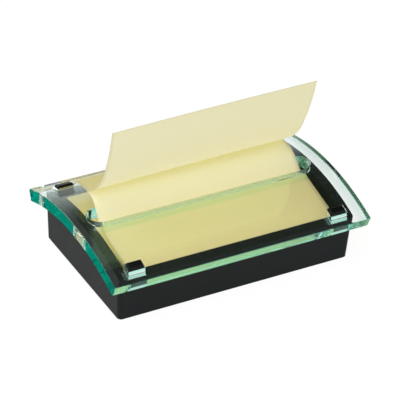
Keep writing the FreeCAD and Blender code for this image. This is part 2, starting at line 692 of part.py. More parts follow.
def make_lid_peg(label, x_sign, y_sign):
    """Peg with a tongue in the shell's wall; a front peg is a back peg turned half round."""
    body = new_body(label)
    section = new_sketch(body, "section", "YZ_Plane")
    lifted_rim = "rim_radius + socket_clearance"
    tongue_end = "socket_floor + socket_clearance"
    corners = [
        ("tongue_inner", tongue_end), ("tongue_outer", tongue_end),
        ("tongue_outer", arch_z(lifted_rim, "tongue_outer")),
        ("peg_outer", arch_z(lifted_rim, "peg_outer")),
        ("peg_outer", arch_z("arch_radius", "peg_outer") + " + peg_proud"),
        ("peg_inner", arch_z("arch_radius", "peg_inner") + " + peg_proud"),
        ("peg_inner", arch_z(lifted_rim, "peg_inner")),
        ("tongue_inner", arch_z(lifted_rim, "tongue_inner")),
    ]
    polygon(section, corners)
    pad(body, "block", section, "peg_width", symmetric=True)
    lowest_top = size(corners[4][1])
    fillet(body, "top_edges", "peg_edge", lambda edge: edge.BoundBox.ZMin > lowest_top - TINY)
    turn = FreeCAD.Rotation(FreeCAD.Vector(0, 0, 1), 0 if y_sign > 0 else 180)
    body.Placement = FreeCAD.Placement(FreeCAD.Vector(0, 0, 0), turn)
    bind(body, "Placement.Base.x", f"{x_sign} * peg_x")
    return body


# Notes.

def make_note_pad():
    box = document.addObject("Part::Box", "note_pad")
    bind(box, "Length", "note_length")
    bind(box, "Width", "note_depth")
    bind(box, "Height", "pad_height")
    bind(box, "Placement.Base.x", "-note_length / 2")
    bind(box, "Placement.Base.y", "pad_front")
    bind(box, "Placement.Base.z", "shelf_top")
    return box


class Strip:
    """Side view of a bent note: a line of paper that starts at a point and is laid run by run."""

    def __init__(self, y, z, heading):
        self.y = y
        self.z = z
        self.heading = heading
        self.half = size("paper") / 2
        self.upper = []
        self.lower = []

    def sides(self):
        """Points of the paper's two faces here, the one on the left of the heading first."""
        across = (-math.sin(self.heading) * self.half, math.cos(self.heading) * self.half)
        left = FreeCAD.Vector(0, self.y + across[0], self.z + across[1])
        right = FreeCAD.Vector(0, self.y - across[0], self.z - across[1])
        return left, right

    def straight(self, length):
        start = self.sides()
        self.y += length * math.cos(self.heading)
        self.z += length * math.sin(self.heading)
        end = self.sides()
        self.upper.append(Part.makeLine(start[0], end[0]))
        self.lower.append(Part.makeLine(start[1], end[1]))

    def bend(self, radius, turn):
        """Arc of the paper's middle; a positive turn goes to the left of the heading."""
        start = self.sides()
        self.step(radius, turn / 2)
        middle = self.sides()
        self.step(radius, turn / 2)
        end = self.sides()
        self.upper.append(Part.Arc(start[0], middle[0], end[0]).toShape())
        self.lower.append(Part.Arc(start[1], middle[1], end[1]).toShape())

    def step(self, radius, turn):
        chord = 2 * radius * math.sin(abs(turn) / 2)
        self.y += chord * math.cos(self.heading + turn / 2)
        self.z += chord * math.sin(self.heading + turn / 2)
        self.heading += turn

    def solid(self):
        first = (self.upper[0].firstVertex().Point, self.lower[0].firstVertex().Point)
        last = self.sides()
        ends = [Part.makeLine(*first), Part.makeLine(*last)]
        outline = Part.Wire(Part.__sortEdges__(self.upper + self.lower + ends))
        return Part.Face(outline).extrude(FreeCAD.Vector(size("note_length"), 0, 0))


def rising_note_plan():
    """Where the rising note bends: off the pad, up through the slot, over in a roll and down."""
    lift = math.radians(size("lift_angle"))
    angle = math.radians(size("rise_angle"))
    plan = {"lift": lift, "angle": angle}
    plan["start_z"] = size("pad_top + paper_gap + paper / 2")
    slot_z = size("lid_crest - lid_thickness / 2")
    bend_across = size("rise_radius") * (math.sin(angle) - math.sin(lift))
    bend_up = size("rise_radius") * (math.cos(lift) - math.cos(angle))
    across = -size("rise_offset") - size("pad_front") - bend_across
    up = slot_z - plan["start_z"] - bend_up
    plan["run"] = (across - up / math.tan(angle)) / (math.cos(lift) - math.sin(lift) / math.tan(angle))
    bend_top = plan["start_z"] + plan["run"] * math.sin(lift) + bend_up
    bend_end = size("pad_front") + plan["run"] * math.cos(lift) + bend_across
    plan["roll_top"] = size("lid_crest + roll_height")
    roll_start = plan["roll_top"] - size("roll_radius") * (1 - math.cos(angle))
    plan["slope"] = (roll_start - bend_top) / math.sin(angle)
    plan["roll_y"] = bend_end + plan["slope"] * math.cos(angle) + size("roll_radius") * math.sin(angle)
    bends = size("rise_radius") * (angle - lift) + size("roll_radius") * angle
    plan["tail_turn"] = (size("note_depth") - plan["run"] - plan["slope"] - bends) / size("tail_radius")
    return plan


def make_rising_note():
    plan = rising_note_plan()
    strip = Strip(size("pad_front"), plan["start_z"], plan["lift"])
    strip.straight(plan["run"])
    strip.bend(size("rise_radius"), plan["angle"] - plan["lift"])
    strip.straight(plan["slope"])
    strip.bend(size("roll_radius"), -plan["angle"])
    strip.bend(size("tail_radius"), -plan["tail_turn"])
    return make_sheet("rising_note", strip)


def make_pulled_note():
    """Stuck strip on the rising note's tail, edges flush, then up and forwards to the free edge."""
    plan = rising_note_plan()
    raised = size("paper + paper_gap")
    radius = size("tail_radius") + raised
    tail = plan["tail_turn"]
    back_y = plan["roll_y"] + radius * math.sin(tail)
    back_z = plan["roll_top"] + raised - radius * (1 - math.cos(tail))
    peel = math.radians(size("peel_angle"))
    stand = math.radians(size("stand_angle"))
    strip = Strip(back_y, back_z, math.pi - tail)
    strip.bend(radius, tail - peel)
    strip.bend(size("peel_radius"), peel - stand)
    left = size("note_depth") - radius * (tail - peel) - size("peel_radius") * (stand - peel)
    strip.bend(size("stand_radius"), -left / size("stand_radius"))
    return make_sheet("pulled_note", strip)


def make_sheet(label, strip):
    sheet_feature = document.addObject("Part::Feature", label)
    sheet_feature.Shape = strip.solid()
    bind(sheet_feature, "Placement.Base.x", "-note_length / 2")
    return sheet_feature


# Assembly.

CORNERS = [("front_left", -1, -1), ("front_right", 1, -1), ("back_left", -1, 1), ("back_right", 1, 1)]


def make_pieces():
    pieces = [
        make_base_shell(), make_bottom_plate(), make_ballast_plate(), make_pad_shelf(),
        make_drawer_rail("drawer_rail_front", -1), make_drawer_rail("drawer_rail_back", 1),
        make_drawer_tray(), make_drawer_front(), make_lid(),
        make_note_pad(), make_rising_note(), make_pulled_note(),
    ]
    for corner, x_sign, y_sign in CORNERS:
        pieces.append(make_lid_peg(f"lid_peg_{corner}", x_sign, y_sign))
        pieces.append(make_foot(f"foot_{corner}", x_sign, y_sign))
    posts = four_corners("post_x", "post_y")
    under_heads = [(x, y, "foot_drop + counterbore") for x, y in posts]
    pieces.append(make_screw_group("bottom_screws", "screw_length", under_heads, HEAD_DOWN))
    shelf_heads = [(x, y, "shelf_top - counterbore") for x, y in posts]
    pieces.append(make_screw_group("shelf_screws", "screw_length", shelf_heads, UPRIGHT))
    inside = "tray_front - tray_wall"
    front_heads = [(inside, f"{sign} * front_screw_spacing / 2", "front_screw_z") for sign in (-1, 1)]
    pieces.append(make_screw_group("drawer_screws", "front_screw_length", front_heads, HEAD_INWARDS))
    return pieces


def write_pieces(pieces):
    """Check every object, then write each piece to a file of its own."""
    document.recompute()
    for thing in document.Objects:
        if {"Invalid", "Error"} & set(thing.State):
            raise RuntimeError(f"{thing.Label} failed: {thing.State}")
    for piece in pieces:
        if piece.Shape.isNull() or not piece.Shape.isValid():
            raise RuntimeError(f"{piece.Label} has no valid shape")
    os.makedirs("parts", exist_ok=True)
    for piece in pieces:
        piece.Shape.exportStep(os.path.join("parts", f"{piece.Label}.step"))
        box = piece.Shape.optimalBoundingBox()
        print(
            f"{piece.Label}: {len(piece.Shape.Solids)} solid, {piece.Shape.Volume:.1f} mm3,",
            f"x {box.XMin:.2f} to {box.XMax:.2f}, y {box.YMin:.2f} to {box.YMax:.2f},",
            f"z {box.ZMin:.2f} to {box.ZMax:.2f}",
        )


write_pieces(make_pieces())
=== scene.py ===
"""Looks of a pop-up note holder: its plastic, clear lid, metal and paper, and a studio."""
import math
from collections import namedtuple

import bmesh
import bpy
from bpy.props import FloatProperty, FloatVectorProperty, IntProperty, PointerProperty
from mathutils import Matrix, Vector


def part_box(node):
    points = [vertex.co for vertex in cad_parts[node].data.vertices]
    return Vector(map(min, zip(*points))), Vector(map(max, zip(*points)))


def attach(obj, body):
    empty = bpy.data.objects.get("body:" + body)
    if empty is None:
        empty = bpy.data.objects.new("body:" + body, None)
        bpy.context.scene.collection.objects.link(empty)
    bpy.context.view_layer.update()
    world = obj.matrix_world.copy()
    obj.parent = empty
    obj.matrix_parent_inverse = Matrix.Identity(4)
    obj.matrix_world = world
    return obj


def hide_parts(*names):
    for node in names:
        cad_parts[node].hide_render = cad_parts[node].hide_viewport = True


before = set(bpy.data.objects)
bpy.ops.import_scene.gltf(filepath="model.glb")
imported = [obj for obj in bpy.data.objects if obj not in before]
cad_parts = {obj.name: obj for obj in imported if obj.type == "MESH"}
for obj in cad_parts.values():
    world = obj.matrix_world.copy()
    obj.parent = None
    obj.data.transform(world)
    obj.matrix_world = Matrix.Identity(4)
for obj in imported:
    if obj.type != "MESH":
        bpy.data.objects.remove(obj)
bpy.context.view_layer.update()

bl_info = {
    "name": "Note holder looks",
    "version": (1, 0, 0),
    "blender": (4, 5, 0),
    "location": "View3D > Sidebar > Note holder",
    "description": "Finishes, paper and studio for a pop-up note holder",
    "category": "Object",
}

MM = 0.001
WHITE = (1.0, 1.0, 1.0, 1.0)

# What a tone's red, green and blue are multiplied by.
RUBBED = (1.35, 1.35, 1.35)
DULL = (0.72, 0.72, 0.72)
LEAF_SHADE = (0.82, 0.82, 0.82)
WARMER = (0.98, 0.965, 0.9)

# How much rougher and smoother than its setting a moulded piece gets in patches.
RUB_SWING = 0.05

LID_THICKNESS = 7.2 * MM

# How far from the lid's middle a tint begins, and where it is full.
SLOT_WALLS = (9.0 * MM, 8.0 * MM)
LONG_EDGES = (45.0 * MM, 46.0 * MM)
ARCHED_ENDS = (77.6 * MM, 78.6 * MM)
# Painted shade: the overhangs' tint darkens the floor seen through them, in place of the lid's
# shadow on it.
OVERHANG_SHADE = (72.5 * MM, 74.5 * MM)
# Painted shade: the greenish strip in front of the slot reaches this far along the lid.
SLOT_SHADOW_LENGTH = (68.0 * MM, 66.0 * MM)

# How high above the desk the painted shade in front of the slot begins, and where it is full.
SLOT_SHADOW_HEIGHT = (36.0 * MM, 37.0 * MM)

# How squarely a wall of the lid faces along an axis where its tint begins, and where it is full.
SLOT_FACING = (0.2, 0.6)
EDGE_FACING = (0.55, 0.85)
END_FACING = (0.35, 0.8)

# Strips along the lid: the middle, how far from it the strip starts to fade, and where it is gone.
# The first strip is painted shade: a greenish strip in front of the slot for the slot's wall seen
# through the lid.
SLOT_SHADOW_STRIP = (-11.4 * MM, 4.3 * MM, 4.8 * MM)
SLOT_WINDOW = (-10.2 * MM, 7.0 * MM, 7.6 * MM)
PEG_WINDOW = (36.0 * MM, 2.6 * MM, 3.0 * MM)

# A run of a sheet shorter than this, or a bend weaker than this, is taken as straight.
SHORTEST_RUN = 1e-9
WEAKEST_BEND = 1e-6

# Steps of angle from leaf to leaf that scatter the pad's leaves along it and across it.
SCATTER_ALONG = 12.9898
SCATTER_ACROSS = 78.233

# Lamps: the setting that holds the power, the width and the place, in metres.
LAMPS = {
    "key_lamp": ("key_power", 0.8, (-0.62, -0.55, 0.95)),
    "back_lamp": ("back_power", 0.8, (-0.45, 0.3, 1.05)),
    "front_lamp": ("front_power", 0.7, (-0.15, -1.25, 0.35)),
}
BOUNCES = {
    "max_bounces": 28,
    "diffuse_bounces": 12,
    "glossy_bounces": 24,
    "transmission_bounces": 24,
}

# Where the sky fades upwards from the horizon to the zenith, and backwards from the front, as parts
# of a direction of length 1.
SKY_RISE = (0.18, 0.6)
SKY_FRONT = (-0.5, -0.1)

# Rays mirrored this many times, give or take the reach, see the sky as a light and not as white.
MIRRORED_TIMES = 2.0
MIRRORED_REACH = 1.2

FLOOR_RADIUS = 4.0
FLOOR_SIDES = 96
FLOOR_WHITE = 1.06

SENSOR_WIDTH = 36.0
CLIP_NEAR = 0.05
CLIP_FAR = 20.0


# Settings.

def colour(label, about, default):
    """A colour, given as red, green and blue."""
    return FloatVectorProperty(
        name=label, description=about, subtype="COLOR", size=4, min=0.0, max=1.0,
        default=(*default, 1.0),
    )


def length(label, about, default):
    """A length in metres, given in millimetres."""
    return FloatProperty(
        name=label, description=about, default=default * MM, unit="LENGTH", precision=5,
    )


def angle(label, about, default):
    """An angle in radians, given in degrees."""
    return FloatProperty(
        name=label, description=about, default=math.radians(default), unit="ROTATION",
    )


def share(label, about, default, top=1.0):
    """A plain number from 0 up."""
    return FloatProperty(name=label, description=about, default=default, min=0.0, max=top)


def power(label, about, default):
    """The power of a lamp in watts."""
    return FloatProperty(name=label, description=about, default=default, unit="POWER")


def count(label, about, default, least):
    """A whole number."""
    return IntProperty(name=label, description=about, default=default, min=least)


class NoteHolderFinishes(bpy.types.PropertyGroup):
    """Colours and surface values of the pieces."""

    shell_colour: colour("Shell", "Black plastic of the base", (0.0098, 0.0123, 0.0125))
    shell_roughness: share("Shell roughness", "Satin finish of the base", 0.46)
    peg_colour: colour("Pegs", "Black plastic of the lid's pegs", (0.0045, 0.0045, 0.005))
    peg_roughness: share("Peg roughness", "Finish of the pegs", 0.3)
    tray_colour: colour("Tray", "Dark grey plastic of the drawer's tray", (0.022, 0.022, 0.023))
    rail_colour: colour("Rails", "Slippery plastic of the drawer's rails", (0.26, 0.26, 0.25))
    acrylic_tint: colour(
        "Acrylic", "What is left of white light in the clear plastic", (0.25, 0.85, 0.75)
    )
    acrylic_density: share(
        "Acrylic density", "How fast the clear plastic takes up light, per metre", 4.0, 1000.0
    )
    acrylic_ior: share("Acrylic IOR", "How strongly the clear plastic bends light", 1.49, 3.0)
    acrylic_clear: colour("Acrylic faces", "Tint of the lid's large faces", (0.9, 0.965, 0.935))
    # Painted shade: this tint stands in for the shadow that the lid casts on the floor seen through
    # its overhangs.
    acrylic_rim: colour(
        "Acrylic rim", "Tint of the lid where it stands out past the base's ends",
        (0.74, 0.86, 0.82),
    )
    acrylic_end: colour(
        "Acrylic ends", "Tint of the lid's two arched ends, seen from outside", (0.012, 0.55, 0.44)
    )
    # Painted light: a diffuse green on the ends that stands in for light the plate carries along
    # and lets out there.
    acrylic_deep: colour(
        "Acrylic depth", "Light that comes back out of the lid's ends", (0.003, 0.28, 0.205)
    )
    deep_share: share("Depth share", "How much of the ends' look is that light", 0.5)
    acrylic_cut: colour("Acrylic cut", "Sawn ends of the lid, seen from inside", (0.15, 0.4, 0.3))
    cut_share: share("Cut share", "How much of the sawn ends shows from inside", 0.6)
    acrylic_edge: colour(
        "Acrylic edges", "Tint of the lid's front and back edges", (0.29, 0.86, 0.66)
    )
    acrylic_slot: colour("Acrylic slot", "Tint of the slot's walls", (0.52, 0.72, 0.63))
    # Painted shade: a greenish strip in front of the slot that stands in for the slot's wall seen
    # through the lid.
    acrylic_band: colour(
        "Acrylic band", "Tint of the strip in front of the slot", (0.62, 0.9, 0.67)
    )
    acrylic_gloss: colour("Acrylic gloss", "Tint of what the lid mirrors", (0.45, 1.0, 0.82))
    acrylic_through: colour(
        "Acrylic shadow", "Tint of the light that falls through the lid", (1.0, 0.945, 0.83)
    )
    note_colour: colour("Note", "Front of a note", (0.965, 0.945, 0.66))
    back_colour: colour("Note's back", "Back of a note", (0.895, 0.9, 0.735))
    # Painted shade: the pad is the notes' paper, given a darker, warmer tone for the shade under
    # the lid.
    pad_colour: colour("Pad", "Cut edges and top of the pad", (0.93, 0.88, 0.5))
    rising_glow: share("Rising glow", "Share of the rising note that lets light through", 0.2)
    rising_light: colour(
        "Rising light", "Tint of the light through the rising note", (0.915, 0.863, 0.435)
    )
    standing_glow: share(
        "Standing glow", "Share of the standing note that lets light through", 0.65
    )
    standing_light: colour(
        "Standing light", "Tint of the light through the standing note", (0.725, 0.68, 0.4)
    )
    steel_colour: colour("Steel", "Zinc-plated weight and screws", (0.52, 0.53, 0.54))
    rubber_colour: colour("Feet", "Rubber of the feet", (0.014, 0.014, 0.014))


class NoteHolderPaper(bpy.types.PropertyGroup):
    """Sizes and bends of the notes. Left and right are a note's ends, seen from the front."""

    note_length: length("Note length", "One note, along the slot", 127.0)
    note_depth: length("Note depth", "One note, front to back", 76.0)
    thickness: length("Paper", "Thickness of a note", 0.14)
    stuck_gap: length("Stuck gap", "Between the two notes at the stuck strip", 0.25)
    lift_left: angle("Lift, left", "Slope of the rising note off the front of the pad", 6.5)
    lift_right: angle("Lift, right", "Slope of the rising note off the front of the pad", 12.5)
    rise_left: angle("Rise, left", "Slope of the rising note in the slot", 55.5)
    rise_right: angle("Rise, right", "Slope of the rising note in the slot", 42.5)
    rise_radius: length("Rise bend", "Bend of the rising note off the pad", 24.0)
    place_left: length("Place, left", "Rising note behind the slot's middle", -1.69)
    place_right: length("Place, right", "Rising note behind the slot's middle", -0.31)
    roll_left: length("Roll, left", "Top of the roll above the lid", 7.59)
    roll_right: length("Roll, right", "Top of the roll above the lid", 4.68)
    roll_radius_left: length("Roll bend, left", "Bend of the roll", 10.0)
    roll_radius_right: length("Roll bend, right", "Bend of the roll", 16.9)
    tail_radius: length("Tail bend", "Bend of the rising note's tail", 50.6)
    peel_left: angle("Peel, left", "Slope of the tail where the standing note leaves it", 2.19)
    peel_right: angle("Peel, right", "Slope of the tail where the standing note leaves it", 6.18)
    peel_radius: length("Peel bend", "Fold of the standing note above its stuck strip", 1.5)
    fold_left: angle("Fold, left", "Slope of the standing note above that fold", 27.34)
    fold_right: angle("Fold, right", "Slope of the standing note above that fold", 24.79)
    curl: length("Curl", "Strip of the standing note that curls up from the fold", 28.73)
    curl_radius_left: length("Curl bend, left", "Bend of that strip", 37.93)
    curl_radius_right: length("Curl bend, right", "Bend of that strip", 40.01)
    stand_radius_left: length(
        "Stand bend, left", "Bend of the standing note above its curl", 161.07
    )
    stand_radius_right: length(
        "Stand bend, right", "Bend of the standing note above its curl", 140.98
    )
    columns: count("Columns", "Faces along a note", 48, 4)
    rows: count("Rows", "Faces across a note", 96, 8)
    leaves: count("Leaves", "Sheets that show in the edges of the pad", 48, 4)
    leaf_slip: length("Leaf slip", "How far a sheet of the pad is out of line", 0.14)


class NoteHolderStudio(bpy.types.PropertyGroup):
    """Camera and lights."""

    azimuth: angle("Azimuth", "Camera to the right of straight in front", -30.93)
    elevation: angle("Elevation", "Camera above the desk", 33.52)
    roll: angle("Roll", "Camera turned about its own line of sight", 3.64)
    distance: length("Distance", "Camera to its target", 1322.4)
    target: FloatVectorProperty(
        name="Target", description="Point that the camera looks at", subtype="XYZ", unit="LENGTH",
        default=(0.0, -0.00013, 0.03168), precision=5,
    )
    lens: FloatProperty(
        name="Lens", description="Focal length in millimetres", default=216.0, min=1.0,
    )
    key_power: power("Key", "Power of the large lamp on the left", 5.0)
    front_power: power("Front", "Power of the low lamp in front", 0.8)
    back_power: power("Back", "Power of the high lamp behind on the left", 5.0)
    horizon: share("Horizon", "Strength of the sky near the floor", 0.9, 4.0)
    zenith: share("Zenith", "Strength of the sky overhead", 0.05, 4.0)
    front_sky: share("Front sky", "Strength of the sky in front", 0.8, 4.0)
    floor_shade: share("Floor shade", "How much of the object's shadow the floor keeps", 0.12)
    floor_gloss: share("Floor in gloss", "How white the floor is in reflections", 0.4)
    floor_colour: colour("Floor", "Pale floor", (0.82, 0.82, 0.82))


# Nodes.

def feed(tree, socket, source):
    """Link a socket to another, or set its value."""
    if isinstance(source, bpy.types.NodeSocket):
        tree.links.new(source, socket)
    else:
        socket.default_value = source


def place(tree, kind, inputs=None, **options):
    """New node of a kind, with its options set and its inputs fed by name or number."""
    node = tree.nodes.new("ShaderNode" + kind)
    for name, option in options.items():
        setattr(node, name, option)
    for socket, source in (inputs or {}).items():
        feed(tree, node.inputs[socket], source)
    return node


def mixed(tree, factor, first, second):
    """Colour between two colours."""
    node = place(tree, "Mix", {"Factor": factor}, data_type="RGBA")
    colours = [socket for socket in node.inputs if socket.type == "RGBA"]
    for socket, source in zip(colours, (first, second)):
        feed(tree, socket, source)
    return next(socket for socket in node.outputs if socket.type == "RGBA")


def blend(tree, factor, first, second):
    """Shader between two shaders."""
    return place(tree, "MixShader", {"Fac": factor, 1: first, 2: second}).outputs["Shader"]


def reckon(tree, operation, *values):
    """Result of a step of arithmetic on values."""
    node = place(tree, "Math", dict(enumerate(values)), operation=operation)
    return node.outputs["Value"]


def spread(tree, source, low, high):
    """A value from 0 to 1 stretched over a range."""
    node = place(tree, "MapRange", {"Value": source, "To Min": low, "To Max": high})
    return node.outputs["Result"]


def reached(tree, source, low, high):
    """How far a value is from low to high, as a mask."""
    node = place(tree, "MapRange", {"Value": source, "From Min": low, "From Max": high})
    return node.outputs["Result"]


def faded(tree, source, limits, first, second):
    """A strength that goes smoothly from first to second while a value goes between limits."""
    node = place(tree, "MapRange", {
        "Value": source, "From Min": limits[0], "From Max": limits[1],
        "To Min": first, "To Max": second,
    }, interpolation_type="SMOOTHSTEP")
    return node.outputs["Result"]


def noise(tree, where, scale, detail, roughness=0.5):
    """Noise as a value."""
    node = place(tree, "TexNoise", {
        "Vector": where, "Scale": scale, "Detail": detail, "Roughness": roughness,
    })
    return node.outputs["Fac"]


def own_place(tree):
    """Place on the piece itself, which moves with it."""
    return place(tree, "TexCoord").outputs["Object"]


def bumped(tree, height, strength, depth):
    """Normal of a surface with a height."""
    bump = place(tree, "Bump", {"Height": height, "Strength": strength, "Distance": depth})
    return bump.outputs["Normal"]


def toned(tone, factors):
    """A tone with its red, green and blue multiplied, up to white."""
    return (*(min(1.0, value * factor) for value, factor in zip(tone, factors)), 1.0)


def group_tree(name, inputs, outputs):
    """Empty node group with its number sockets, and its two end nodes."""
    tree = bpy.data.node_groups.new(name, "ShaderNodeTree")
    for label, default in inputs.items():
        socket = tree.interface.new_socket(label, in_out="INPUT", socket_type="NodeSocketFloat")
        socket.default_value = default
    for label in outputs:
        tree.interface.new_socket(label, in_out="OUTPUT", socket_type="NodeSocketFloat")
    return tree, tree.nodes.new("NodeGroupInput").outputs, tree.nodes.new("NodeGroupOutput").inputs


def use(tree, builder, **values):
    """The group that a builder makes, made once and placed in a material with its own values."""
    name = builder.__name__.replace("_", " ")
    node = tree.nodes.new("ShaderNodeGroup")
    node.node_tree = bpy.data.node_groups.get(name) or builder(name)
    for label, source in values.items():
        feed(tree, node.inputs[label.replace("_", " ")], source)
    return node


def moulded_grain(name):
    """Fine spark-eroded texture of a mould, and slow patches where it is rubbed smoother."""
    tree, given, made = group_tree(
        name, {"Grain scale": 2600.0, "Patch scale": 28.0}, ("Height", "Rub")
    )
    where = own_place(tree)
    coarse = noise(tree, where, given["Grain scale"], detail=3.0)
    cells = place(tree, "TexVoronoi", {"Vector": where, "Scale": given["Grain scale"]})
    height = reckon(tree, "MULTIPLY", coarse, cells.outputs["Distance"])
    feed(tree, made["Height"], height)
    feed(tree, made["Rub"], noise(tree, where, given["Patch scale"], detail=4.0))
    return tree


def paper_fibre(name):
    """Fibres of uncoated paper as a height, and a cloudy tone as a mask."""
    tree, given, made = group_tree(
        name, {"Fibre scale": 1500.0, "Cloud scale": 60.0}, ("Height", "Cloud")
    )
    where = own_place(tree)
    felt = noise(tree, where, given["Fibre scale"], detail=5.0, roughness=0.7)
    strands = place(tree, "TexWave", {
        "Vector": where, "Scale": given["Fibre scale"],
        "Distortion": 18.0, "Detail": 3.0, "Detail Scale": 1.6,
    })
    feed(tree, made["Height"], reckon(tree, "MULTIPLY", felt, strands.outputs["Fac"]))
    cloud = noise(tree, where, given["Cloud scale"], detail=6.0, roughness=0.62)
    feed(tree, made["Cloud"], cloud)
    return tree


def plated_steel(name):
    """Spangle and fine drawing lines of zinc-plated steel."""
    tree, given, made = group_tree(
        name, {"Line scale": 900.0, "Spangle scale": 240.0}, ("Height", "Spangle")
    )
    where = own_place(tree)
    drawn = place(tree, "Mapping", {"Vector": where, "Scale": (0.03, 1.0, 1.0)})
    lines = noise(tree, drawn.outputs["Vector"], given["Line scale"], detail=4.0)
    spangle = place(tree, "TexVoronoi", {"Vector": where, "Scale": given["Spangle scale"]})
    grey = place(tree, "SeparateColor", {"Color": spangle.outputs["Color"]})
    feed(tree, made["Height"], lines)
    feed(tree, made["Spangle"], grey.outputs["Red"])
    return tree


# Materials.

def new_material(name):
    """Material with a bare tree."""
    material = bpy.data.materials.new(name)
    material.use_nodes = True
    material.node_tree.nodes.clear()
    return material, material.node_tree


def principled(tree, inputs):
    """Principled shader with its inputs fed."""
    return place(tree, "BsdfPrincipled", inputs).outputs["BSDF"]


def shown(tree, surface):
    """Output of a material with its surface."""
    return place(tree, "OutputMaterial", {"Surface": surface})


def moulded_plastic(name, tone, roughness, specular, grain_scale=2600.0, grain_depth=0.02 * MM):
    """Moulded plastic with a fine grain, slightly smoother where hands rub it."""
    material, tree = new_material(name)
    grain = use(tree, moulded_grain, Grain_scale=grain_scale)
    rub = grain.outputs["Rub"]
    shown(tree, principled(tree, {
        "Base Color": mixed(tree, rub, tone, toned(tone, RUBBED)),
        "Roughness": spread(tree, rub, roughness + RUB_SWING, roughness - RUB_SWING),
        "Specular IOR Level": specular,
        "Normal": bumped(tree, grain.outputs["Height"], strength=0.35, depth=grain_depth),
    }))
    return material


def plated_metal(name, tone, line_scale):
    """Zinc-plated steel, duller where its spangle is dark."""
    material, tree = new_material(name)
    plating = use(tree, plated_steel, Line_scale=line_scale)
    spangle = plating.outputs["Spangle"]
    shown(tree, principled(tree, {
        "Base Color": mixed(tree, spangle, toned(tone, DULL), tone),
        "Metallic": 1.0,
        "Roughness": spread(tree, spangle, low=0.28, high=0.44),
        "Normal": bumped(tree, plating.outputs["Height"], strength=0.25, depth=0.02 * MM),
    }))
    return material


def paper(name, tone, glow_share, glow_tint):
    """Uncoated paper: a cloudy tone, a trace of fibre, no gloss, and some light let through."""
    material, tree = new_material(name)
    fibre = use(tree, paper_fibre)
    cloud = fibre.outputs["Cloud"]
    face = principled(tree, {
        "Base Color": mixed(tree, cloud, tone, toned(tone, WARMER)),
        "Roughness": spread(tree, cloud, low=0.78, high=0.9),
        "Specular IOR Level": 0.22,
        "Normal": bumped(tree, fibre.outputs["Height"], strength=0.18, depth=0.03 * MM),
    })
    glow = place(tree, "BsdfTranslucent", {"Color": glow_tint})
    lit = blend(tree, glow_share, face, glow.outputs["BSDF"])
    inside = place(tree, "BsdfTransparent", {"Color": WHITE})
    behind = place(tree, "NewGeometry").outputs["Backfacing"]
    shown(tree, blend(tree, behind, lit, inside.outputs["BSDF"]))
    return material


def pad_paper(name, tone):
    """Stacked paper: a cloudy tone, with the edges of the sheets as fine level lines."""
    material, tree = new_material(name)
    cloud = use(tree, paper_fibre).outputs["Cloud"]
    level = place(tree, "Mapping", {"Vector": own_place(tree), "Scale": (0.02, 0.02, 1.0)})
    lines = noise(tree, level.outputs["Vector"], scale=5200.0, detail=2.0)
    cut = mixed(tree, lines, tone, toned(tone, LEAF_SHADE))
    shown(tree, principled(tree, {
        "Base Color": mixed(tree, cloud, cut, tone),
        "Roughness": spread(tree, cloud, low=0.8, high=0.92),
        "Specular IOR Level": 0.2,
        "Normal": bumped(tree, lines, strength=0.3, depth=0.05 * MM),
    }))
    return material


def finish_nodes(nodes, material):
    """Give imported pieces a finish."""
    for node in nodes:
        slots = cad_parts[node].material_slots
        if not slots:
            raise RuntimeError(f"{node} has no material slot")
        for slot in slots:
            slot.material = material


def nodes_named(start):
    """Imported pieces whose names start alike."""
    return [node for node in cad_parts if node.startswith(start)]


def linked(name, content):
    """New object in the scene with a mesh, a lamp or a camera."""
    made = bpy.data.objects.new(name, content)
    bpy.context.scene.collection.objects.link(made)
    return made


def mesh_from(name, grid):
    """Mesh with what was built in a grid, which is then freed."""
    mesh = bpy.data.meshes.new(name)
    grid.to_mesh(mesh)
    grid.free()
    return mesh


# Sheets of paper.

# Profile of a note: the start and the heading of its line, and its runs. A run is a length and the
# angle that it turns. A rising note's line also has its crest and the angle that its tail turns.
Line = namedtuple("Line", "start heading runs crest tail_turn", defaults=(None, None))


def laid(line, steps):
    """Points of a line laid run by run at even steps."""
    total = sum(run for run, _ in line.runs)
    points = []
    for step in range(steps + 1):
        left = total * step / steps
        y, z = line.start
        along = line.heading
        for run, turn in line.runs:
            part = min(left, run)
            bend = turn / run if run > SHORTEST_RUN else 0.0
            if abs(bend) < WEAKEST_BEND:
                y += part * math.cos(along)
                z += part * math.sin(along)
            else:
                y += (math.sin(along + bend * part) - math.sin(along)) / bend
                z -= (math.cos(along + bend * part) - math.cos(along)) / bend
            along += bend * part
            left -= part
            if left <= 0:
                break
        points.append((y, z))
    return points


def between(sizes, name, across):
    """A setting that changes from the left end of a note to its right end."""
    left = getattr(sizes, name + "_left")
    right = getattr(sizes, name + "_right")
    return left + (right - left) * across


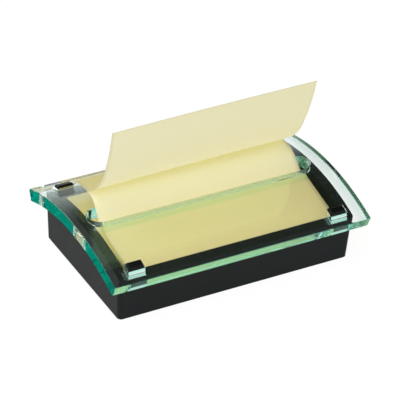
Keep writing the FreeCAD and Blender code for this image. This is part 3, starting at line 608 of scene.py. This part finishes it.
def rising_line(sizes, across):
    """Line of the rising note: off the pad, up through the slot, over and down."""
    lid_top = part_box("lid")[1].z
    sheet_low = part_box("rising_note")[0]
    slot_middle = lid_top - LID_THICKNESS / 2
    lift = between(sizes, "lift", across)
    rise = between(sizes, "rise", across)
    radius = sizes.rise_radius
    roll_radius = between(sizes, "roll_radius", across)
    start_y = sheet_low.y
    start_z = sheet_low.z + sizes.thickness

    # The bend off the pad, and how long the run before it has to be to meet the slot's middle.
    bend_across = radius * (math.sin(rise) - math.sin(lift))
    bend_up = radius * (math.cos(lift) - math.cos(rise))
    over = between(sizes, "place", across) - start_y - bend_across
    up = slot_middle - start_z - bend_up
    run = (over - up / math.tan(rise)) / (math.cos(lift) - math.sin(lift) / math.tan(rise))
    bend_end = start_y + run * math.cos(lift) + bend_across
    bend_top = start_z + run * math.sin(lift) + bend_up

    # The straight slope through the slot, the roll, and what is left for the tail.
    crest_z = lid_top + between(sizes, "roll", across)
    roll_start = crest_z - roll_radius * (1 - math.cos(rise))
    slope = (roll_start - bend_top) / math.sin(rise)
    crest_y = bend_end + slope * math.cos(rise) + roll_radius * math.sin(rise)
    bends = radius * (rise - lift) + roll_radius * rise
    tail = sizes.note_depth - run - slope - bends
    tail_turn = tail / sizes.tail_radius
    runs = [
        (run, 0.0),
        (radius * (rise - lift), rise - lift),
        (slope, 0.0),
        (roll_radius * rise, -rise),
        (tail, -tail_turn),
    ]
    return Line((start_y, start_z), lift, runs, (crest_y, crest_z), tail_turn)


def standing_line(sizes, across):
    """Line of the standing note: stuck along the rising note's tail, then up to its free edge."""
    rising = rising_line(sizes, across)
    crest_y, crest_z = rising.crest
    tail_turn = rising.tail_turn
    radius = sizes.tail_radius + sizes.stuck_gap
    start = (
        crest_y + radius * math.sin(tail_turn),
        crest_z + sizes.stuck_gap - radius * (1 - math.cos(tail_turn)),
    )
    peel = between(sizes, "peel", across)
    fold = between(sizes, "fold", across)
    stuck = radius * (tail_turn - peel)
    bend = sizes.peel_radius * (fold - peel)
    curl = sizes.curl
    upper = sizes.note_depth - stuck - bend - curl
    runs = [
        (stuck, tail_turn - peel),
        (bend, peel - fold),
        (curl, -curl / between(sizes, "curl_radius", across)),
        (upper, -upper / between(sizes, "stand_radius", across)),
    ]
    return Line(start, math.pi - tail_turn, runs)


def bent_sheet(name, line_of, sizes, material):
    """A note with the paper's thickness, through its lines from its left end to its right end."""
    points = []
    for column in range(sizes.columns + 1):
        across = column / sizes.columns
        x = (across - 0.5) * sizes.note_length
        points += [(x, y, z) for y, z in laid(line_of(sizes, across), sizes.rows)]
    rows = sizes.rows + 1
    faces = []
    for column in range(sizes.columns):
        for row in range(sizes.rows):
            corner = column * rows + row
            faces.append((corner, corner + rows, corner + rows + 1, corner + 1))
    mesh = bpy.data.meshes.new(name)
    mesh.from_pydata(points, [], faces)
    mesh.shade_smooth()
    mesh.materials.append(material)
    made = linked(name, mesh)
    thick = made.modifiers.new("Paper", "SOLIDIFY")
    thick.thickness = sizes.thickness
    thick.offset = 0.0
    return made


# Operators, one for each piece or group of like pieces.

class NOTEHOLDER_OT_shell(bpy.types.Operator):
    """Satin black finish for the moulded base, its shelf, its bottom and the drawer's front"""

    bl_idname = "note_holder.shell"
    bl_label = "Base"

    def execute(self, context):
        finishes = context.scene.note_holder_finishes
        satin = moulded_plastic(
            "satin_black", finishes.shell_colour, finishes.shell_roughness, specular=0.1
        )
        finish_nodes(["base_shell", "pad_shelf", "bottom_plate", "drawer_front"], satin)
        return {"FINISHED"}


class NOTEHOLDER_OT_pegs(bpy.types.Operator):
    """Smoother black finish for the four pegs of the lid"""

    bl_idname = "note_holder.pegs"
    bl_label = "Pegs"

    def execute(self, context):
        finishes = context.scene.note_holder_finishes
        smooth = moulded_plastic(
            "peg_black", finishes.peg_colour, finishes.peg_roughness, specular=0.15,
            grain_scale=1800.0, grain_depth=0.01 * MM,
        )
        finish_nodes(nodes_named("lid_peg"), smooth)
        return {"FINISHED"}


class NOTEHOLDER_OT_drawer(bpy.types.Operator):
    """Grey plastic for the drawer's tray and pale slippery plastic for its rails"""

    bl_idname = "note_holder.drawer"
    bl_label = "Drawer"

    def execute(self, context):
        finishes = context.scene.note_holder_finishes
        tray = moulded_plastic("tray_grey", finishes.tray_colour, roughness=0.52, specular=0.4)
        finish_nodes(["drawer_tray"], tray)
        rail = moulded_plastic(
            "rail_natural", finishes.rail_colour, roughness=0.4, specular=0.5, grain_scale=1400.0
        )
        finish_nodes(["drawer_rail_front", "drawer_rail_back"], rail)
        return {"FINISHED"}


class NOTEHOLDER_OT_metal(bpy.types.Operator):
    """Zinc-plated finish for the steel weight and the screws"""

    bl_idname = "note_holder.metal"
    bl_label = "Weight and screws"

    def execute(self, context):
        finishes = context.scene.note_holder_finishes
        weight = plated_metal("plated_weight", finishes.steel_colour, line_scale=900.0)
        finish_nodes(["ballast_plate"], weight)
        screws = plated_metal("plated_screws", finishes.steel_colour, line_scale=2400.0)
        finish_nodes(["bottom_screws", "shelf_screws", "drawer_screws"], screws)
        return {"FINISHED"}


class NOTEHOLDER_OT_feet(bpy.types.Operator):
    """Matt rubber for the four feet"""

    bl_idname = "note_holder.feet"
    bl_label = "Feet"

    def execute(self, context):
        finishes = context.scene.note_holder_finishes
        rubber = moulded_plastic(
            "foot_rubber", finishes.rubber_colour, roughness=0.8, specular=0.3,
            grain_scale=3200.0, grain_depth=0.04 * MM,
        )
        finish_nodes(nodes_named("foot_"), rubber)
        return {"FINISHED"}


class NOTEHOLDER_OT_lid(bpy.types.Operator):
    """Clear acrylic with sea-green edges for the arched lid"""

    bl_idname = "note_holder.lid"
    bl_label = "Lid"

    def execute(self, context):
        finishes = context.scene.note_holder_finishes
        material, tree = new_material("clear_acrylic")
        tint = finishes.acrylic_clear
        for mask, deeper in (
            # Painted shade: the overhangs' tint darkens the floor seen through them, in place of
            # the lid's shadow.
            (self.within(tree, "Object", "X", OVERHANG_SHADE), finishes.acrylic_rim),
            (self.wall(tree, "Y", SLOT_WALLS, SLOT_FACING), finishes.acrylic_slot),
            (self.wall(tree, "Y", LONG_EDGES, EDGE_FACING), finishes.acrylic_edge),
            # Painted shade: a greenish strip in front of the slot, for the slot's wall seen through
            # the lid.
            (self.band(tree), finishes.acrylic_band),
        ):
            tint = mixed(tree, mask, tint, deeper)
        faces = principled(tree, {
            "Base Color": tint,
            "Roughness": 0.0,
            "IOR": finishes.acrylic_ior,
            "Transmission Weight": 1.0,
            "Specular Tint": finishes.acrylic_gloss,
        })
        ends = self.ends(tree, finishes, faces)
        clear = blend(tree, self.tinted_end(tree), faces, ends)

        # Light that falls through the lid goes straight on, so that the pad is lit evenly.
        through = place(tree, "BsdfTransparent", {"Color": finishes.acrylic_through})
        path = place(tree, "LightPath").outputs
        lighting = reckon(tree, "MAXIMUM", path["Is Shadow Ray"], path["Is Diffuse Ray"])
        end = shown(tree, blend(tree, lighting, clear, through.outputs["BSDF"]))
        body = place(tree, "VolumeAbsorption", {
            "Color": finishes.acrylic_tint, "Density": finishes.acrylic_density,
        })
        feed(tree, end.inputs["Volume"], body.outputs["Volume"])
        finish_nodes(["lid"], material)
        return {"FINISHED"}

    def ends(self, tree, finishes, faces):
        """Shader of the sawn ends: deep green from outside, partly a painted glow for light let out
        of the ends, paler from inside the plate.
        """
        bent = place(tree, "BsdfRefraction", {
            "Color": finishes.acrylic_end, "Roughness": 0.0, "IOR": finishes.acrylic_ior,
        }).outputs["BSDF"]
        # Painted light: this diffuse green stands in for the light that the plate carries to its
        # ends and lets out there.
        deep = place(tree, "BsdfDiffuse", {"Color": finishes.acrylic_deep}).outputs["BSDF"]
        sawn = place(tree, "BsdfDiffuse", {"Color": finishes.acrylic_cut}).outputs["BSDF"]
        outside = blend(tree, finishes.deep_share, bent, deep)
        inside = blend(tree, finishes.cut_share, faces, sawn)
        return blend(tree, place(tree, "NewGeometry").outputs["Backfacing"], outside, inside)

    def within(self, tree, output, axis, limits):
        """How far a place or a facing along an axis is between two limits, as a mask."""
        parts = place(tree, "SeparateXYZ", {"Vector": place(tree, "TexCoord").outputs[output]})
        return reached(tree, reckon(tree, "ABSOLUTE", parts.outputs[axis]), *limits)

    def wall(self, tree, axis, places, facings):
        """1 on walls that face along an axis and lie far out or near the middle along it."""
        near = self.within(tree, "Object", axis, places)
        square = self.within(tree, "Normal", axis, facings)
        return reckon(tree, "MULTIPLY", near, square)

    def off(self, tree, middle, low, high):
        """0 on a strip along the lid and 1 away from it."""
        parts = place(tree, "SeparateXYZ", {"Vector": own_place(tree)})
        away = reckon(tree, "SUBTRACT", parts.outputs["Y"], middle)
        return reached(tree, reckon(tree, "ABSOLUTE", away), low, high)

    def tinted_end(self, tree):
        """The two ends, but for short ways through the plate: to the slot, and to a peg's hole."""
        mask = self.wall(tree, "X", ARCHED_ENDS, END_FACING)
        for window in (SLOT_WINDOW, PEG_WINDOW):
            mask = reckon(tree, "MULTIPLY", mask, self.off(tree, *window))
        return mask

    def band(self, tree):
        """Top of the lid in front of the slot, with a painted greenish shade that stands in for the
        slot's wall seen through the lid.
        """
        mask = reckon(tree, "SUBTRACT", 1.0, self.off(tree, *SLOT_SHADOW_STRIP))
        for axis, limits in (("X", SLOT_SHADOW_LENGTH), ("Z", SLOT_SHADOW_HEIGHT)):
            mask = reckon(tree, "MULTIPLY", mask, self.within(tree, "Object", axis, limits))
        return mask


class NOTEHOLDER_OT_pad(bpy.types.Operator):
    """Pad of notes whose sheets are a little out of line"""

    bl_idname = "note_holder.pad"
    bl_label = "Pad"

    def execute(self, context):
        pad = linked("pad_of_notes", self.leaves(context.scene.note_holder_paper))
        # The pad's tone is the notes' paper darkened and warmed as painted shade under the lid.
        tone = context.scene.note_holder_finishes.pad_colour
        pad.data.materials.append(pad_paper("pad_paper", tone))
        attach(pad, "base")
        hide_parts("note_pad")
        return {"FINISHED"}

    def leaves(self, sizes):
        """Mesh of the pad: a wall round each leaf, a small step from leaf to leaf, and two caps."""
        low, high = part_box("note_pad")
        corners = [(low.x, low.y), (high.x, low.y), (high.x, high.y), (low.x, high.y)]
        thickness = (high.z - low.z) / sizes.leaves
        grid = bmesh.new()
        loops = []
        for leaf in range(sizes.leaves):
            slip_x = sizes.leaf_slip * math.sin(leaf * SCATTER_ALONG)
            slip_y = sizes.leaf_slip * math.sin(leaf * SCATTER_ACROSS)
            for level in (leaf, leaf + 1):
                z = low.z + level * thickness
                loops.append([grid.verts.new((x + slip_x, y + slip_y, z)) for x, y in corners])
        for lower, upper in zip(loops, loops[1:]):
            for side in range(4):
                following = (side + 1) % 4
                grid.faces.new((lower[side], lower[following], upper[following], upper[side]))
        grid.faces.new(loops[0][::-1])
        grid.faces.new(loops[-1])
        return mesh_from("pad_of_notes", grid)


class NOTEHOLDER_OT_rising_note(bpy.types.Operator):
    """Note that comes up off the pad, through the slot and over in a roll"""

    bl_idname = "note_holder.rising_note"
    bl_label = "Rising note"

    def execute(self, context):
        finishes = context.scene.note_holder_finishes
        sizes = context.scene.note_holder_paper
        material = paper(
            "note_front", finishes.note_colour, finishes.rising_glow, finishes.rising_light
        )
        note = bent_sheet("next_note", rising_line, sizes, material)
        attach(note, "lid")
        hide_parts("rising_note")
        return {"FINISHED"}


class NOTEHOLDER_OT_standing_note(bpy.types.Operator):
    """Note that stands up, stuck along its back edge to the tail of the rising one"""

    bl_idname = "note_holder.standing_note"
    bl_label = "Standing note"

    def execute(self, context):
        finishes = context.scene.note_holder_finishes
        sizes = context.scene.note_holder_paper
        material = paper(
            "note_back", finishes.back_colour, finishes.standing_glow, finishes.standing_light
        )
        note = bent_sheet("standing_note", standing_line, sizes, material)
        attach(note, "top_note")
        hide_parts("pulled_note")
        return {"FINISHED"}


class NOTEHOLDER_OT_studio(bpy.types.Operator):
    """Pale floor, soft light and the camera"""

    bl_idname = "note_holder.studio"
    bl_label = "Studio"

    def execute(self, context):
        studio = context.scene.note_holder_studio
        self.floor(studio)
        context.scene.world = self.sky(studio)
        for name, (setting, width, where) in LAMPS.items():
            self.lamp(name, getattr(studio, setting), width, Vector(where), studio)
        context.scene.camera = self.camera(studio)
        context.scene.view_settings.view_transform = "Standard"
        for setting, bounces in BOUNCES.items():
            setattr(context.scene.cycles, setting, bounces)
        return {"FINISHED"}

    def floor(self, studio):
        """Floor that is white to the camera and through the lid, and keeps some shadow."""
        grid = bmesh.new()
        bmesh.ops.create_circle(grid, cap_ends=True, segments=FLOOR_SIDES, radius=FLOOR_RADIUS)
        floor = linked("floor", mesh_from("floor", grid))
        material, tree = new_material("pale_floor")
        plain = principled(tree, {
            "Base Color": studio.floor_colour, "Roughness": 0.9, "Specular IOR Level": 0.0,
        })
        bright = place(tree, "Emission", {"Color": WHITE, "Strength": FLOOR_WHITE})
        path = place(tree, "LightPath").outputs
        straight = reckon(tree, "MAXIMUM", path["Is Camera Ray"], path["Is Transmission Ray"])
        kept = reckon(tree, "MULTIPLY", straight, 1.0 - studio.floor_shade)
        mirrored = reckon(tree, "MULTIPLY", path["Is Glossy Ray"], studio.floor_gloss)
        white = reckon(tree, "MAXIMUM", kept, mirrored)
        shown(tree, blend(tree, white, plain, bright.outputs["Emission"]))
        floor.data.materials.append(material)

    def sky(self, studio):
        """World that is white to the camera and through the lid, and a soft light to the rest."""
        world = bpy.data.worlds.new("studio")
        world.use_nodes = True
        tree = world.node_tree
        tree.nodes.clear()
        towards = place(tree, "TexCoord").outputs["Generated"]
        way = place(tree, "SeparateXYZ", {"Vector": towards}).outputs
        behind = faded(tree, way["Z"], SKY_RISE, studio.horizon, studio.zenith)
        strength = faded(tree, way["Y"], SKY_FRONT, studio.front_sky, behind)
        light = place(tree, "Background", {"Color": WHITE, "Strength": strength})
        white = place(tree, "Background", {"Color": WHITE, "Strength": 1.0})
        path = place(tree, "LightPath").outputs
        mirrored = reckon(tree, "COMPARE", path["Glossy Depth"], MIRRORED_TIMES, MIRRORED_REACH)
        clear = reckon(tree, "GREATER_THAN", path["Is Transmission Ray"], mirrored)
        seen = reckon(tree, "MAXIMUM", path["Is Camera Ray"], clear)
        both = blend(tree, seen, light.outputs["Background"], white.outputs["Background"])
        place(tree, "OutputWorld", {"Surface": both})
        return world

    def lamp(self, name, watts, width, where, studio):
        """Square soft lamp that points at the camera's target."""
        data = bpy.data.lights.new(name, "AREA")
        data.energy = watts
        data.size = width
        lamp = linked(name, data)
        lamp.location = where
        lamp.rotation_mode = "QUATERNION"
        lamp.rotation_quaternion = (Vector(studio.target) - where).to_track_quat("-Z", "Y")

    def camera(self, studio):
        """Camera at the photograph's angle."""
        data = bpy.data.cameras.new("camera")
        data.sensor_width = SENSOR_WIDTH
        data.lens = studio.lens
        data.clip_start = CLIP_NEAR
        data.clip_end = CLIP_FAR
        flat = math.cos(studio.elevation)
        back = Vector((
            math.sin(studio.azimuth) * flat,
            -math.cos(studio.azimuth) * flat,
            math.sin(studio.elevation),
        ))
        right = Vector((math.cos(studio.azimuth), math.sin(studio.azimuth), 0.0))
        up = back.cross(right)
        turn, lift = math.cos(studio.roll), math.sin(studio.roll)
        axes = (right * turn + up * lift, up * turn - right * lift, back)
        matrix = Matrix(axes).transposed().to_4x4()
        matrix.translation = Vector(studio.target) + back * studio.distance
        camera = linked("camera", data)
        camera.matrix_world = matrix
        return camera


class NOTEHOLDER_PT_looks(bpy.types.Panel):
    """Buttons for the pieces of the note holder"""

    bl_idname = "NOTEHOLDER_PT_looks"
    bl_label = "Note holder"
    bl_space_type = "VIEW_3D"
    bl_region_type = "UI"
    bl_category = "Note holder"

    def draw(self, context):
        for operator in OPERATORS:
            self.layout.operator(operator.bl_idname)


OPERATORS = (
    NOTEHOLDER_OT_shell,
    NOTEHOLDER_OT_pegs,
    NOTEHOLDER_OT_drawer,
    NOTEHOLDER_OT_metal,
    NOTEHOLDER_OT_feet,
    NOTEHOLDER_OT_lid,
    NOTEHOLDER_OT_pad,
    NOTEHOLDER_OT_rising_note,
    NOTEHOLDER_OT_standing_note,
    NOTEHOLDER_OT_studio,
)
GROUPS = {
    "note_holder_finishes": NoteHolderFinishes,
    "note_holder_paper": NoteHolderPaper,
    "note_holder_studio": NoteHolderStudio,
}
CLASSES = (*GROUPS.values(), *OPERATORS, NOTEHOLDER_PT_looks)


def register():
    for made in CLASSES:
        bpy.utils.register_class(made)
    for name, group in GROUPS.items():
        setattr(bpy.types.Scene, name, PointerProperty(type=group))


def unregister():
    for name in GROUPS:
        delattr(bpy.types.Scene, name)
    for made in reversed(CLASSES):
        bpy.utils.unregister_class(made)


def main():
    register()
    for operator in OPERATORS:
        group, name = operator.bl_idname.split(".")
        getattr(getattr(bpy.ops, group), name)()


if __name__ == "__main__":
    main()
